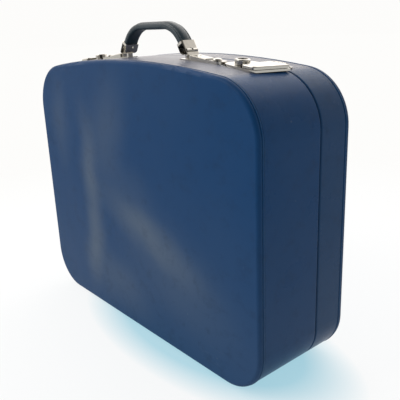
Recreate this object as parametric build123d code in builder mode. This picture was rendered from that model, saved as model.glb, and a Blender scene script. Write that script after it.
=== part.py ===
from build123d import *
import os
from math import asin, cos, radians, sin, sqrt

os.makedirs("parts", exist_ok=True)

# Hard-sided suitcase with an arched top, standing upright on its hinge side.
# X runs along its width, Y from the deep front half to the lid, Z up from the ground.

# Driving dimensions of the shell, in millimetres
WIDTH = 460.0
HEIGHT = 360.0
DEPTH = 144.0
FRONT_HALF_DEPTH = 94.0
FOOT_HEIGHT = 4.0
TOP_RISE = 20.0
TOP_CORNER = 64.0
BOTTOM_CORNER = 54.0
FRONT_WALL = 3.5
LID_WALL = 3.0
SEAM_GAP = 0.8
PANEL_EDGE = 4.5
PANEL_SKIRT = 5.6
WELT_WIDTH = 2.8
WELT_PROUD = 0.5
WELT_ROUND = 1.1
SEAM_ROUND = 2.0
CREASE_ROUND = 0.8
LINING = 1.0
LINING_EDGE = 3.0
TONGUE_WALL = 1.8
TONGUE_FRONT = 8.0
TONGUE_REAR = 28.5
LID_LINING_START = 30.0

# Places worked out from the driving dimensions
HALF_WIDTH = WIDTH / 2
FRONT = -DEPTH / 2
REAR = DEPTH / 2
SEAM = FRONT + FRONT_HALF_DEPTH
TOP = FOOT_HEIGHT + HEIGHT
ARCH = (HALF_WIDTH**2 + TOP_RISE**2) / (2 * TOP_RISE)
ARCH_Z = TOP - ARCH
CORNER_X = HALF_WIDTH - TOP_CORNER
CORNER_Z = ARCH_Z + sqrt((ARCH - TOP_CORNER) ** 2 - CORNER_X**2)
CORNER_TURN = asin(CORNER_X / (ARCH - TOP_CORNER))
FRONT_BAND_START = FRONT + PANEL_SKIRT + WELT_WIDTH
LID_BAND_END = REAR - PANEL_SKIRT - WELT_WIDTH


def facing_front(y, x=0.0, z=0.0):
    """Upright plane at this y, with its sketch's X to the right and its Y upwards."""
    return Plane(origin=(x, y, z), x_dir=(1, 0, 0), z_dir=(0, -1, 0))


def top_z(x):
    """Height of the arched top at this distance from the middle."""
    return ARCH_Z + sqrt(ARCH**2 - x**2)


def on_top(x, y, height=0.0):
    """Plane lying on the arched top at x and y, raised by height, its X leading outwards."""
    lean = asin(x / ARCH)
    out = (cos(lean), 0, -sin(lean))
    up = (sin(lean), 0, cos(lean))
    return Plane(origin=(x, y, top_z(x)), x_dir=out, z_dir=up).offset(height)


def outline(y, inset=0.0):
    """Arch-topped outline of the case in the upright plane at y, set in from its skin."""
    half = HALF_WIDTH - inset
    top_radius = TOP_CORNER - inset
    low_radius = BOTTOM_CORNER - inset
    arch_radius = ARCH - inset
    low_centre = HALF_WIDTH - BOTTOM_CORNER
    low_z = FOOT_HEIGHT + BOTTOM_CORNER
    slant = radians(45)
    half_turn = (CORNER_TURN + radians(90)) / 2
    shoulder = (arch_radius * sin(CORNER_TURN), ARCH_Z + arch_radius * cos(CORNER_TURN))
    with BuildSketch(facing_front(y)) as section:
        with BuildLine():
            ThreePointArc(
                (low_centre, FOOT_HEIGHT + inset),
                (low_centre + low_radius * sin(slant), low_z - low_radius * cos(slant)),
                (half, low_z),
            )
            Line((half, low_z), (half, CORNER_Z))
            ThreePointArc(
                (half, CORNER_Z),
                (CORNER_X + top_radius * sin(half_turn), CORNER_Z + top_radius * cos(half_turn)),
                shoulder,
            )
            mirror(about=Plane.YZ)
            Line((-low_centre, FOOT_HEIGHT + inset), (low_centre, FOOT_HEIGHT + inset))
            ThreePointArc(shoulder, (0, ARCH_Z + arch_radius), (-shoulder[0], shoulder[1]))
        make_face()
    return section.sketch


def rim_at(solid, y):
    """The edges of a solid that lie in the upright plane at y."""
    return solid.edges().filter_by_position(Axis.Y, y - 0.01, y + 0.01)


def rounded_block(open_y, closed_y, inset, edge_radius):
    """Solid of the case outline between two planes, its edge rounded over at closed_y."""
    with BuildPart() as block:
        extrude(outline(open_y, inset), amount=open_y - closed_y)
        fillet(rim_at(block, closed_y), edge_radius)
    return block.part


def dished_panel(open_y, closed_y, inset, wall, edge_radius, crease=0.0):
    """Panel at closed_y with a rounded edge and a skirt that reaches back to open_y."""
    inward = wall if closed_y < open_y else -wall
    hollow = rounded_block(open_y, closed_y + inward, inset + wall, edge_radius - wall)
    with BuildPart() as panel:
        add(rounded_block(open_y, closed_y, inset, edge_radius))
        if crease:
            fillet(rim_at(panel, open_y), crease)
        add(hollow, mode=Mode.SUBTRACT)
    return panel


def hoop(front_y, rear_y, inset, wall, front_round, rear_round):
    """Band that follows the case outline, with its outer front and rear edges rounded."""
    with BuildPart() as ring:
        extrude(outline(rear_y, inset), amount=rear_y - front_y)
        fillet(rim_at(ring, front_y), front_round)
        fillet(rim_at(ring, rear_y), rear_round)
        extrude(outline(rear_y, inset + wall), amount=rear_y - front_y, mode=Mode.SUBTRACT)
    return ring


def welt(front_y, rear_y, wall):
    """Raised piping that covers the joint between a panel and its band."""
    return hoop(front_y, rear_y, -WELT_PROUD, wall + WELT_PROUD, WELT_ROUND, WELT_ROUND)


def finish(builder, name):
    """Label a finished piece and write it as its own file."""
    builder.part.label = name
    export_step(builder.part, "parts/" + name + ".step")


def finish_pair(builder, name):
    """Write a right-hand piece and its mirror image on the left."""
    finish(builder, name + "_right")
    with BuildPart() as twin:
        mirror(builder.part, about=Plane.YZ)
    finish(twin, name + "_left")


def both_sides(planes):
    """The given planes and their mirror images, for pieces that come in pairs."""
    mirrored = [
        Plane(
            origin=(-plane.origin.X, plane.origin.Y, plane.origin.Z),
            x_dir=(-plane.x_dir.X, plane.x_dir.Y, plane.x_dir.Z),
            z_dir=(-plane.z_dir.X, plane.z_dir.Y, plane.z_dir.Z),
        )
        for plane in planes
    ]
    return list(planes) + mirrored


# Where the hardware sits
HANDLE_Y = -15.0
PIVOT_X = 61.5
PIVOT_Z = top_z(PIVOT_X) + 12.7
BRACKET_RIVET_X = (84.0, 112.5)
LOCK_X = 152.0
HINGE_X = 120.0
HINGE_Z = 1.9
FOOT_X = 163.0
FRONT_FOOT_Y = -46.0
LID_FOOT_Y = 46.0
HASP_RIVET_BACK = 10.5
HINGE_RIVET_REACH = 17.5

RIVET_SHANK = 1.5
RIGHT_BRACKET_RIVETS = [on_top(x, HANDLE_Y) for x in BRACKET_RIVET_X]
BRACKET_RIVETS = both_sides(RIGHT_BRACKET_RIVETS)


def lock_plane(out=0.0, back=0.0, height=0.0):
    """Plane on the right-hand lock, measured outwards and back from where it meets the seam."""
    lean = asin(LOCK_X / ARCH)
    base = on_top(LOCK_X, SEAM + back, height)
    shift = Vector(cos(lean), 0, -sin(lean)) * out
    return Plane(origin=base.origin + shift, x_dir=base.x_dir, z_dir=base.z_dir)


def under_case(x, y):
    """Plane on the flat underside of the case at x and y, facing down."""
    return Plane(origin=(x, y, FOOT_HEIGHT), x_dir=(1, 0, 0), z_dir=(0, 0, -1))


RIGHT_LOCK_RIVETS = [lock_plane(out, back) for out, back in ((25, -41), (25, -10), (-19, -9))]
RIGHT_HASP_RIVETS = [lock_plane(out, HASP_RIVET_BACK) for out in (12, 23)]
HINGE_RIVET_X = [HINGE_X + step for step in (-18, 0, 18)]
LOCK_RIVETS = both_sides(RIGHT_LOCK_RIVETS)
HASP_RIVETS = both_sides(RIGHT_HASP_RIVETS)
FRONT_HINGE_RIVETS = both_sides([under_case(x, SEAM - HINGE_RIVET_REACH) for x in HINGE_RIVET_X])
LID_HINGE_RIVETS = both_sides([under_case(x, SEAM + HINGE_RIVET_REACH) for x in HINGE_RIVET_X])
FRONT_FEET = both_sides([under_case(FOOT_X, FRONT_FOOT_Y)])
LID_FEET = both_sides([under_case(FOOT_X, LID_FOOT_Y)])

# The lock's works sit in a pocket cut through the top of the front half
POCKET_OUT = -6.0
POCKET_BACK = -31.0
POCKET_LENGTH = 38.0
POCKET_WIDTH = 30.0
POCKET_DEPTH = 8.0
LOCK_POCKETS = both_sides([lock_plane(POCKET_OUT, POCKET_BACK)])


def pierce(planes, radius=RIVET_SHANK, reach=12.0):
    """Drill a hole of this radius through whatever lies within reach of each plane."""
    with Locations(*planes):
        Cylinder(radius, 2 * reach, mode=Mode.SUBTRACT)


def cut_lock_pockets():
    """Cut the openings that the two lock boxes drop into."""
    with Locations(*LOCK_POCKETS):
        Box(POCKET_LENGTH, POCKET_WIDTH, 2 * POCKET_DEPTH + 6, mode=Mode.SUBTRACT)


# Shell of the front half
front_panel = dished_panel(FRONT + PANEL_SKIRT, FRONT, 0, FRONT_WALL, PANEL_EDGE, CREASE_ROUND)
finish(front_panel, "front_panel")

front_welt = welt(FRONT + PANEL_SKIRT, FRONT_BAND_START, FRONT_WALL)
finish(front_welt, "front_welt")

front_band = hoop(FRONT_BAND_START, SEAM - SEAM_GAP / 2, 0, FRONT_WALL, CREASE_ROUND, SEAM_ROUND)
with front_band:
    cut_lock_pockets()
    pierce(BRACKET_RIVETS + LOCK_RIVETS + FRONT_HINGE_RIVETS + FRONT_FEET)
finish(front_band, "front_band")

rim_tongue = hoop(TONGUE_FRONT, TONGUE_REAR, FRONT_WALL, TONGUE_WALL, CREASE_ROUND, CREASE_ROUND)
finish(rim_tongue, "rim_tongue")

front_lining = dished_panel(TONGUE_FRONT, FRONT + FRONT_WALL, FRONT_WALL, LINING, LINING_EDGE)
with front_lining:
    cut_lock_pockets()
    pierce(BRACKET_RIVETS + FRONT_HINGE_RIVETS + FRONT_FEET)
finish(front_lining, "front_lining")

# Shell of the lid
lid_panel = dished_panel(REAR - PANEL_SKIRT, REAR, 0, LID_WALL, PANEL_EDGE, CREASE_ROUND)
finish(lid_panel, "lid_panel")

lid_welt = welt(LID_BAND_END, REAR - PANEL_SKIRT, LID_WALL)
finish(lid_welt, "lid_welt")

lid_band = hoop(SEAM + SEAM_GAP / 2, LID_BAND_END, 0, LID_WALL, SEAM_ROUND, CREASE_ROUND)
with lid_band:
    pierce(HASP_RIVETS + LID_HINGE_RIVETS + LID_FEET)
finish(lid_band, "lid_band")

lid_lining = dished_panel(LID_LINING_START, REAR - LID_WALL, LID_WALL, LINING, LINING_EDGE)
with lid_lining:
    pierce(HASP_RIVETS + LID_HINGE_RIVETS + LID_FEET)
finish(lid_lining, "lid_lining")

# Ruched pocket on the inside of the lid, with its gathered elastic mouth
POCKET_TOP = 214.0
POCKET_BOTTOM = 30.0
POCKET_HALF = 196.0
POCKET_THICK = 5.0
POCKET_BACK_Y = REAR - LID_WALL - LINING
ELASTIC_HEIGHT = 12.0

with BuildPart() as lid_pocket:
    with BuildSketch(facing_front(POCKET_BACK_Y)):
        with Locations((0, (POCKET_TOP + POCKET_BOTTOM) / 2)):
            RectangleRounded(2 * POCKET_HALF, POCKET_TOP - POCKET_BOTTOM, 30)
    extrude(amount=POCKET_THICK)
    fillet(rim_at(lid_pocket, POCKET_BACK_Y - POCKET_THICK), 3)
    with Locations((0, POCKET_BACK_Y - POCKET_THICK / 2, POCKET_TOP)):
        Box(2 * WIDTH, 2 * POCKET_THICK, ELASTIC_HEIGHT, mode=Mode.SUBTRACT)
finish(lid_pocket, "lid_pocket")

with BuildPart() as pocket_elastic:
    with Locations((0, POCKET_BACK_Y - POCKET_THICK / 2 - 0.5, POCKET_TOP)):
        Box(2 * POCKET_HALF - 44, POCKET_THICK - 1, ELASTIC_HEIGHT)
    fillet(pocket_elastic.edges().filter_by(Axis.X), 1.5)
finish(pocket_elastic, "pocket_elastic")

# Packing straps inside the front half, lying flat against the lining
STRAP_X = 120.0
STRAP_WIDTH = 22.0
STRAP_THICK = 1.4
STRAP_LOW = 22.0
STRAP_JOIN = 150.0
STRAP_HIGH = 330.0
STRAP_Y = FRONT + FRONT_WALL + LINING
BUCKLE_WIDTH = 30.0
BUCKLE_HEIGHT = 22.0
BUCKLE_BAR = 3.0
BUCKLE_THICK = 2.4
STRAP_OVERLAP = 40.0
STRAP_RIVET_INSET = 9.0
STRAP_RIVET_RADIUS = 4.0


def strap_pair(low_z, high_z, front_y):
    """Two flat lengths of webbing, one each side, between two heights."""
    with BuildPart() as straps:
        for side in (-1, 1):
            with BuildSketch(facing_front(front_y, side * STRAP_X)):
                with Locations((0, (low_z + high_z) / 2)):
                    RectangleRounded(STRAP_WIDTH, high_z - low_z, 2)
            extrude(amount=-STRAP_THICK)
    return straps


lower_straps = strap_pair(STRAP_LOW, STRAP_JOIN + BUCKLE_HEIGHT / 2 - BUCKLE_BAR, STRAP_Y)
finish(lower_straps, "lower_straps")

upper_straps = strap_pair(STRAP_JOIN - STRAP_OVERLAP, STRAP_HIGH, STRAP_Y + STRAP_THICK)
finish(upper_straps, "upper_straps")

with BuildPart() as strap_buckles:
    for side in (-1, 1):
        with BuildSketch(facing_front(STRAP_Y + 2 * STRAP_THICK, side * STRAP_X, STRAP_JOIN)):
            buckle_outer = RectangleRounded(BUCKLE_WIDTH, BUCKLE_HEIGHT, 4)
            offset(buckle_outer, amount=-BUCKLE_BAR, mode=Mode.SUBTRACT)
            Rectangle(BUCKLE_WIDTH - BUCKLE_BAR, BUCKLE_BAR)
        extrude(amount=-BUCKLE_THICK)
finish(strap_buckles, "strap_buckles")

with BuildPart() as strap_rivets:
    low_end = (STRAP_LOW + STRAP_RIVET_INSET, STRAP_Y + STRAP_THICK)
    high_end = (STRAP_HIGH - STRAP_RIVET_INSET, STRAP_Y + 2 * STRAP_THICK)
    for z, y in (low_end, high_end):
        for side in (-1, 1):
            with BuildSketch(facing_front(y, side * STRAP_X, z)):
                Circle(STRAP_RIVET_RADIUS)
            extrude(amount=-1.2)
    fillet(strap_rivets.faces().filter_by(Axis.Y).sort_by(Axis.Y)[-2:].edges(), 0.8)
finish(strap_rivets, "strap_rivets")

# Handle: a padded arch on a steel strip, held in a plated cap at each end
GRIP_DEEP = 18.6
GRIP_THICK = 9.8
GRIP_ROUND = 3.2
GRIP_TOP_Z = TOP + 37.8
LEG_TILT = 29.0
SHOULDER_BEND = 40.0
CAP_WALL = 0.9
CAP_TOP = 7.6
CAP_DROP = 7.3
CAP_ROUND = 5.5
BEAD_RADIUS = 2.2
BEAD_DROP = 5.4
PIN_LENGTH = 15.0
SOCKET_FLOOR = 4.6
LUG_RADIUS = 4.0
PIN_RADIUS = 1.5
RUNNING_FIT = 0.05
CORE_WIDE = 12.0
CORE_THICK = 2.5

leg_lean = radians(LEG_TILT)
shoulder_x = PIVOT_X - (GRIP_TOP_Z - PIVOT_Z) * sin(leg_lean) / cos(leg_lean)


def leg_point(along):
    """Point on the right leg's centre line, this far up from the pivot, as (x, z)."""
    return (PIVOT_X - along * sin(leg_lean), PIVOT_Z + along * cos(leg_lean))


def arch_path(start_along):
    """Centre line of the handle from one leg over the top to the other."""
    end = leg_point(start_along)
    with BuildLine(facing_front(HANDLE_Y)) as path:
        FilletPolyline(
            (-end[0], end[1]),
            (-shoulder_x, GRIP_TOP_Z),
            (shoulder_x, GRIP_TOP_Z),
            end,
            radius=SHOULDER_BEND,
        )
    return path.line


def swept_arch(start_along, wide, thick, corner):
    """Bar of rounded section that follows the handle's centre line."""
    path = arch_path(start_along)
    start = Plane(origin=path @ 0, x_dir=(0, 1, 0), z_dir=path % 0)
    with BuildPart() as bar:
        with BuildSketch(start):
            RectangleRounded(wide, thick, corner)
        sweep(path=path)
    return bar


handle_core = swept_arch(SOCKET_FLOOR + 0.2, CORE_WIDE, CORE_THICK, 0.6)
finish(handle_core, "handle_core")

handle_grip = swept_arch(SOCKET_FLOOR + 0.4, GRIP_DEEP, GRIP_THICK, GRIP_ROUND)
with handle_grip:
    add(handle_core.part, mode=Mode.SUBTRACT)
finish(handle_grip, "handle_grip")

cap_plane = Plane(
    origin=(PIVOT_X, HANDLE_Y, PIVOT_Z),
    x_dir=(cos(leg_lean), 0, sin(leg_lean)),
    z_dir=(-sin(leg_lean), 0, cos(leg_lean)),
)

with BuildPart() as handle_end:
    with BuildSketch(cap_plane.offset(-2 * CAP_DROP)):
        RectangleRounded(GRIP_THICK + 2 * CAP_WALL, GRIP_DEEP + 2 * CAP_WALL, 2.4)
    extrude(amount=2 * CAP_DROP + CAP_TOP)
    with Locations(cap_plane):
        with Locations(Location((GRIP_THICK / 2 + CAP_WALL - 0.4, 0, -BEAD_DROP), (90, 0, 0))):
            Cylinder(BEAD_RADIUS, GRIP_DEEP - 3)
    # cheeks only below the grip, so that the lug can swing between them
    with BuildSketch(cap_plane.offset(SOCKET_FLOOR)):
        Rectangle(GRIP_THICK, 2 * GRIP_DEEP)
    extrude(amount=-4 * CAP_DROP, mode=Mode.SUBTRACT)
    with BuildSketch(cap_plane.offset(SOCKET_FLOOR)):
        RectangleRounded(GRIP_THICK, GRIP_DEEP, GRIP_ROUND)
    extrude(amount=CAP_TOP, mode=Mode.SUBTRACT)
    # seen from the end the cap has a flat bottom with rounded corners
    with BuildSketch(Plane(origin=(0, HANDLE_Y, PIVOT_Z), x_dir=(0, 1, 0), z_dir=(1, 0, 0))) as end_view:
        with Locations((0, -CAP_DROP)):
            Rectangle(GRIP_DEEP + 2 * CAP_WALL, 40, align=(Align.CENTER, Align.MIN))
        fillet(end_view.vertices().group_by(Axis.Z)[0], CAP_ROUND)
    extrude(amount=2 * PIVOT_X, mode=Mode.INTERSECT)
    with Locations(Plane(origin=(PIVOT_X, HANDLE_Y, PIVOT_Z), z_dir=(1, 0, 0))):
        Cylinder(PIN_RADIUS + RUNNING_FIT, 40, mode=Mode.SUBTRACT)
finish_pair(handle_end, "handle_end")

# Handle brackets: a plated foot with a lug for the pin and a raised tongue outside it
BRACKET_INNER = 55.0
BRACKET_OUTER = 124.0
TONGUE_START = 74.0
TONGUE_END = 101.0
FOOT_THICK = 1.0
PAD_THICK = 3.2
TONGUE_LOW = 4.4
TONGUE_HIGH = 6.4
BRACKET_HALF = 7.5
LUG_INNER = -0.9
LUG_THICK = 3.6
LUG_REACH = 12.2


def above_top(x, height):
    """Point in the bracket's side view, this high over the arched top."""
    return (x, top_z(x) + height)


with BuildPart() as handle_bracket:
    with BuildSketch(facing_front(HANDLE_Y + BRACKET_HALF)):
        with BuildLine():
            ThreePointArc(above_top(BRACKET_INNER, 0), above_top(90, 0), above_top(BRACKET_OUTER, 0))
            Polyline(
                above_top(BRACKET_OUTER, 0),
                above_top(BRACKET_OUTER, PAD_THICK),
                above_top(TONGUE_END, PAD_THICK),
                above_top(TONGUE_END, TONGUE_LOW),
                above_top(TONGUE_START, TONGUE_HIGH),
                above_top(TONGUE_START, FOOT_THICK),
                above_top(BRACKET_INNER, FOOT_THICK),
                above_top(BRACKET_INNER, 0),
            )
        make_face()
    extrude(amount=2 * BRACKET_HALF)
    fillet(handle_bracket.edges().filter_by(Axis.Z).sort_by(Axis.X)[-2:], 5)
    tongue_top = handle_bracket.faces().filter_by(lambda face: face.normal_at().Z > 0.9).group_by(Axis.Z)[-1]
    fillet(tongue_top.edges().sort_by(Axis.X)[:-1], 1.0)
    lug_start = (PIVOT_X + LUG_INNER, HANDLE_Y, PIVOT_Z)
    with BuildSketch(Plane(origin=lug_start, x_dir=(0, 1, 0), z_dir=(1, 0, 0))):
        Circle(LUG_RADIUS)
        Rectangle(2 * LUG_RADIUS - 1, LUG_REACH, align=(Align.CENTER, Align.MAX))
    extrude(amount=LUG_THICK)
    with Locations(Plane(origin=(PIVOT_X, HANDLE_Y, PIVOT_Z), z_dir=(1, 0, 0))):
        Cylinder(PIN_RADIUS, 20, mode=Mode.SUBTRACT)
    pierce(BRACKET_RIVETS)
finish_pair(handle_bracket, "handle_bracket")

with BuildPart(Plane(origin=(PIVOT_X, HANDLE_Y, PIVOT_Z), z_dir=(1, 0, 0))) as handle_pin:
    Cylinder(PIN_RADIUS, PIN_LENGTH)
    fillet(handle_pin.edges(), 0.4)
finish_pair(handle_pin, "handle_pin")

BACKING_DEPTH = FRONT_WALL + LINING + 0.4
BACKING_THICK = 1.2
with BuildPart() as handle_backing:
    with BuildSketch(on_top(98, HANDLE_Y, -BACKING_DEPTH)):
        RectangleRounded(46, 16, 3)
    extrude(amount=-BACKING_THICK)
    pierce(BRACKET_RIVETS)
finish_pair(handle_backing, "handle_backing")

RIVET_TAIL = BACKING_DEPTH + BACKING_THICK
DOME_RADIUS = 5.5
DOME_HEIGHT = 2.6
FLUSH_HEAD = 0.01
FLUSH_DROP = 0.4


def rivet(plane, head_base, head_radius, head_height, tail):
    """Domed rivet through a plane, its tail set this far below it; drawn in the open part."""
    with Locations(plane.offset(head_base)):
        Cylinder(head_radius, head_height, align=(Align.CENTER, Align.CENTER, Align.MIN))
    with Locations(plane.offset(-tail)):
        Cylinder(RIVET_SHANK, tail + head_base, align=(Align.CENTER, Align.CENTER, Align.MIN))


def head_rims(builder, planes, level):
    """Circular edges that lie this far above any of the planes."""
    rims = []
    for edge in builder.edges().filter_by(GeomType.CIRCLE):
        if any(abs(plane.to_local_coords(edge.arc_center).Z - level) < 0.02 for plane in planes):
            rims.append(edge)
    return rims


with BuildPart() as bracket_rivets:
    rivet(RIGHT_BRACKET_RIVETS[0], FOOT_THICK - FLUSH_DROP, RIVET_SHANK, FLUSH_HEAD, RIVET_TAIL)
    rivet(RIGHT_BRACKET_RIVETS[1], PAD_THICK, DOME_RADIUS, DOME_HEIGHT, RIVET_TAIL)
    fillet(head_rims(bracket_rivets, RIGHT_BRACKET_RIVETS[1:], PAD_THICK + DOME_HEIGHT), 2.2)
    mirror(about=Plane.YZ)
finish(bracket_rivets, "bracket_rivets")

# Locks: plated face plate, steel box with a sprung slide, and a round push knob
PLATE_THICK = 2.4
KNOB_OUT = -6.0
KNOB_BACK = -31.0
KNOB_RADIUS = 8.5
KNOB_TOP = 8.8
KNOB_DISH = 0.8
KEYHOLE_DEEP = 3.2
STEM_PLAY = 0.6
STEM_RADIUS = 2.4
KNOB_BASE = PLATE_THICK + 0.3
TRAVEL = 6.0
SLIDE_TOP = -3.0
SLIDE_THICK = 1.6
BOX_WALL = 1.0
PLATE_CORNERS = ((-26, -1), (-26, -43), (24, -50), (29, -46), (36, -1))

with BuildPart() as lock_plate:
    with BuildSketch(lock_plane()) as plate_shape:
        with BuildLine():
            Polyline(*PLATE_CORNERS, close=True)
        make_face()
        fillet(plate_shape.vertices().group_by(Axis.X)[0], 12)
    extrude(amount=PLATE_THICK)
    with BuildSketch(lock_plane(KNOB_OUT - TRAVEL / 2, KNOB_BACK)):
        SlotOverall(TRAVEL + 2 * STEM_RADIUS + STEM_PLAY, 2 * STEM_RADIUS + STEM_PLAY)
    extrude(amount=PLATE_THICK, mode=Mode.SUBTRACT)
    pierce(LOCK_RIVETS)
finish_pair(lock_plate, "lock_plate")

with BuildPart() as lock_box:
    with BuildSketch(lock_plane(POCKET_OUT, POCKET_BACK)):
        Rectangle(POCKET_LENGTH, POCKET_WIDTH)
    extrude(amount=-POCKET_DEPTH)
    with BuildSketch(lock_plane(POCKET_OUT, POCKET_BACK)):
        Rectangle(POCKET_LENGTH - 2 * BOX_WALL, POCKET_WIDTH - 2 * BOX_WALL)
    extrude(amount=BOX_WALL - POCKET_DEPTH, mode=Mode.SUBTRACT)
finish_pair(lock_box, "lock_box")

with BuildPart() as lock_knob:
    with BuildSketch(lock_plane(KNOB_OUT, KNOB_BACK, KNOB_BASE)):
        Circle(KNOB_RADIUS)
    extrude(amount=KNOB_TOP - KNOB_BASE)
    fillet(lock_knob.edges().group_by(Axis.Z)[-1], 1.2)
    with BuildSketch(lock_plane(KNOB_OUT, KNOB_BACK, KNOB_TOP)):
        Circle(KNOB_RADIUS - 2.6)
    extrude(amount=-KNOB_DISH, mode=Mode.SUBTRACT)
    with BuildSketch(lock_plane(KNOB_OUT, KNOB_BACK, KNOB_TOP)):
        Circle(1.5)
        Rectangle(1.2, 4.4, align=(Align.CENTER, Align.MAX))
    extrude(amount=-KEYHOLE_DEEP, mode=Mode.SUBTRACT)
    with BuildSketch(lock_plane(KNOB_OUT, KNOB_BACK, SLIDE_TOP - SLIDE_THICK)):
        Circle(STEM_RADIUS)
    extrude(amount=KNOB_BASE - SLIDE_TOP + SLIDE_THICK)
finish_pair(lock_knob, "lock_knob")

with BuildPart() as lock_slide:
    with BuildSketch(lock_plane(KNOB_OUT, KNOB_BACK, SLIDE_TOP)):
        RectangleRounded(14, 10, 1.5)
        Circle(STEM_RADIUS, mode=Mode.SUBTRACT)
    extrude(amount=-SLIDE_THICK)
finish_pair(lock_slide, "lock_slide")

with BuildPart() as lock_spring:
    with BuildLine(lock_plane(0, 0, SLIDE_TOP - SLIDE_THICK / 2)) as spring_path:
        FilletPolyline((2, -23.5), (-16, -23.5), (-16, -19), (-2, -19), radius=2)
    with BuildSketch(Plane(origin=spring_path.line @ 0, z_dir=spring_path.line % 0)):
        Circle(0.5)
    sweep()
finish_pair(lock_spring, "lock_spring")

with BuildPart() as lock_rivets:
    for plane in RIGHT_LOCK_RIVETS:
        rivet(plane, PLATE_THICK - FLUSH_HEAD, RIVET_SHANK, FLUSH_HEAD, FRONT_WALL)
    mirror(about=Plane.YZ)
finish(lock_rivets, "lock_rivets")

# Hasps: hinged on the lid side of the seam, lying over the lock plates
HASP_GAP = 0.3
HASP_BASE = PLATE_THICK + HASP_GAP
HASP_TOP = 6.2
HASP_CORNERS = ((7, -1.5), (7, -47), (27.5, -47), (34.5, -1.5))
HASP_MIDDLE = 20.0
HASP_DISH = 80.0
HASP_DISH_DEEP = 1.1
HASP_PIVOT_BACK = 3.4
HASP_PIVOT_HEIGHT = 3.8
HASP_KNUCKLE = 2.2
HASP_PIN = 1.0
KNUCKLE_GAP = 0.3
ARM_THICK = 2.0
ARM_SPANS = ((10.0, 15.0), (21.0, 26.0))


def lock_side_view(out):
    """Plane across the lock at this distance out, with its X leading back and its Y up."""
    base = lock_plane(out, HASP_PIVOT_BACK, HASP_PIVOT_HEIGHT)
    return Plane(origin=base.origin, x_dir=(0, 1, 0), z_dir=base.x_dir)


with BuildPart() as hasp:
    with BuildSketch(lock_plane(0, 0, HASP_BASE)) as hasp_shape:
        with BuildLine():
            Polyline(*HASP_CORNERS, close=True)
        make_face()
        fillet(hasp_shape.vertices().sort_by(Axis.Y)[:2], 5)
    extrude(amount=HASP_TOP - HASP_BASE)
    hasp_roof = hasp.faces().filter_by(lambda face: face.normal_at().Z > 0.9)
    fillet(hasp_roof.edges(), 1.1)
    with Locations(lock_plane(HASP_MIDDLE, -23, HASP_TOP + HASP_DISH - HASP_DISH_DEEP)):
        Sphere(HASP_DISH, mode=Mode.SUBTRACT)
    for start, end in ARM_SPANS:
        with BuildSketch(lock_side_view(start)):
            Circle(HASP_KNUCKLE)
            with Locations((0, HASP_TOP - 1.2 - HASP_PIVOT_HEIGHT)):
                Rectangle(HASP_PIVOT_BACK + 5, ARM_THICK, align=(Align.MAX, Align.MAX))
        extrude(amount=end - start)
    pierce([lock_side_view(HASP_MIDDLE)], HASP_PIN + RUNNING_FIT, 30)
finish_pair(hasp, "hasp")

HASP_PLATE_THICK = 1.2
KEEPER_CORNERS = ((7, 1.2), (28, 1.2), (27, 14.5), (8, 14.5))
KEEPER_RIVET_HEAD = 2.6
MIDDLE_KNUCKLE = (ARM_SPANS[0][1] + KNUCKLE_GAP, ARM_SPANS[1][0] - KNUCKLE_GAP)
with BuildPart() as hasp_plate:
    with BuildSketch(lock_plane()) as keeper_shape:
        with BuildLine():
            Polyline(*KEEPER_CORNERS, close=True)
        make_face()
        fillet(keeper_shape.vertices().sort_by(Axis.Y)[-2:], 3)
    extrude(amount=HASP_PLATE_THICK)
    with BuildSketch(lock_side_view(MIDDLE_KNUCKLE[0])):
        Circle(HASP_KNUCKLE)
        with Locations((0, -HASP_PIVOT_HEIGHT)):
            Rectangle(2 * HASP_KNUCKLE - 1, HASP_PIVOT_HEIGHT, align=(Align.CENTER, Align.MIN))
    extrude(amount=MIDDLE_KNUCKLE[1] - MIDDLE_KNUCKLE[0])
    pierce([lock_side_view(HASP_MIDDLE)], HASP_PIN, 30)
    pierce(HASP_RIVETS)
finish_pair(hasp_plate, "hasp_plate")

with BuildPart() as hasp_pin:
    with BuildSketch(lock_side_view(ARM_SPANS[0][0])):
        Circle(HASP_PIN)
    extrude(amount=ARM_SPANS[1][1] - ARM_SPANS[0][0])
finish_pair(hasp_pin, "hasp_pin")

with BuildPart() as hasp_rivets:
    for plane in RIGHT_HASP_RIVETS:
        rivet(plane, HASP_PLATE_THICK, KEEPER_RIVET_HEAD, 1.0, LID_WALL + LINING + 1)
    fillet(head_rims(hasp_rivets, RIGHT_HASP_RIVETS, HASP_PLATE_THICK + 1.0), 0.8)
    mirror(about=Plane.YZ)
finish(hasp_rivets, "hasp_rivets")

# Hinges under the case, with knuckles that interleave on the seam line
LEAF_HALF = 28.0
LEAF_THICK = 1.0
LEAF_REACH = 24.0
KNUCKLE_RADIUS = 1.6
KNUCKLE_CLEAR = 2.2
HINGE_PIN = 0.8
HINGE_HEAD_RADIUS = 2.4
HINGE_HEAD_HEIGHT = 0.9
KNUCKLES = 5
KNUCKLE_PITCH = 2 * LEAF_HALF / KNUCKLES


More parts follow.
